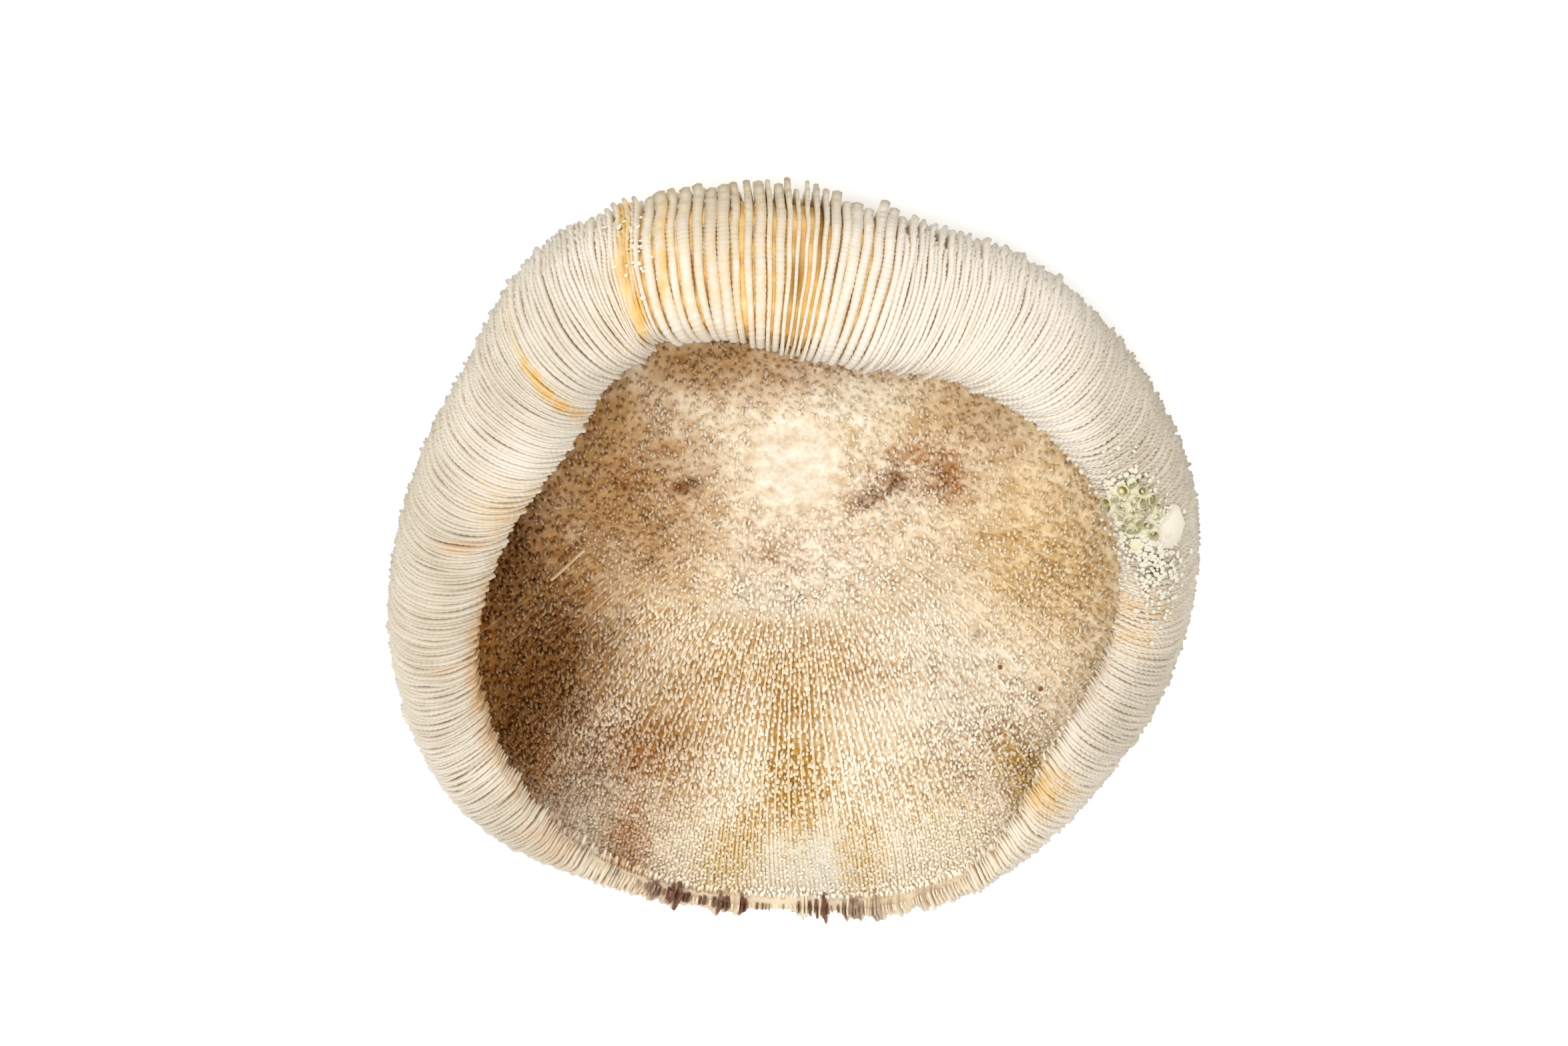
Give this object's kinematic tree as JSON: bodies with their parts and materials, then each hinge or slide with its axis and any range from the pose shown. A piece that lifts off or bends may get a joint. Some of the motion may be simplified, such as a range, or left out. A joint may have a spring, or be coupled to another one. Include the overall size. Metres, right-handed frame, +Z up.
{
  "type": "mushroom coral skeleton",
  "caption": "Dried mushroom coral skeleton lying mouth side down, with an inrolled rim of white radial blades round a hollow, spiny, brown-stained underside.",
  "frame": {"origin": "middle of the outline, on the surface that the coral rests on", "axes": "+Z up, out of the hollow underside; -Y towards the stretch of rim that isn't rolled in; +X to the right of that when seen from above with -Y at the bottom"},
  "size_m": [0.118, 0.1117, 0.035],
  "materials": {
    "aragonite": "dry, matt and granular, cream white blades with ochre and brown stains in the hollow"
  },
  "bodies": {
    "root": {"coral_skeleton": "aragonite"}
  },
  "joints": []
}
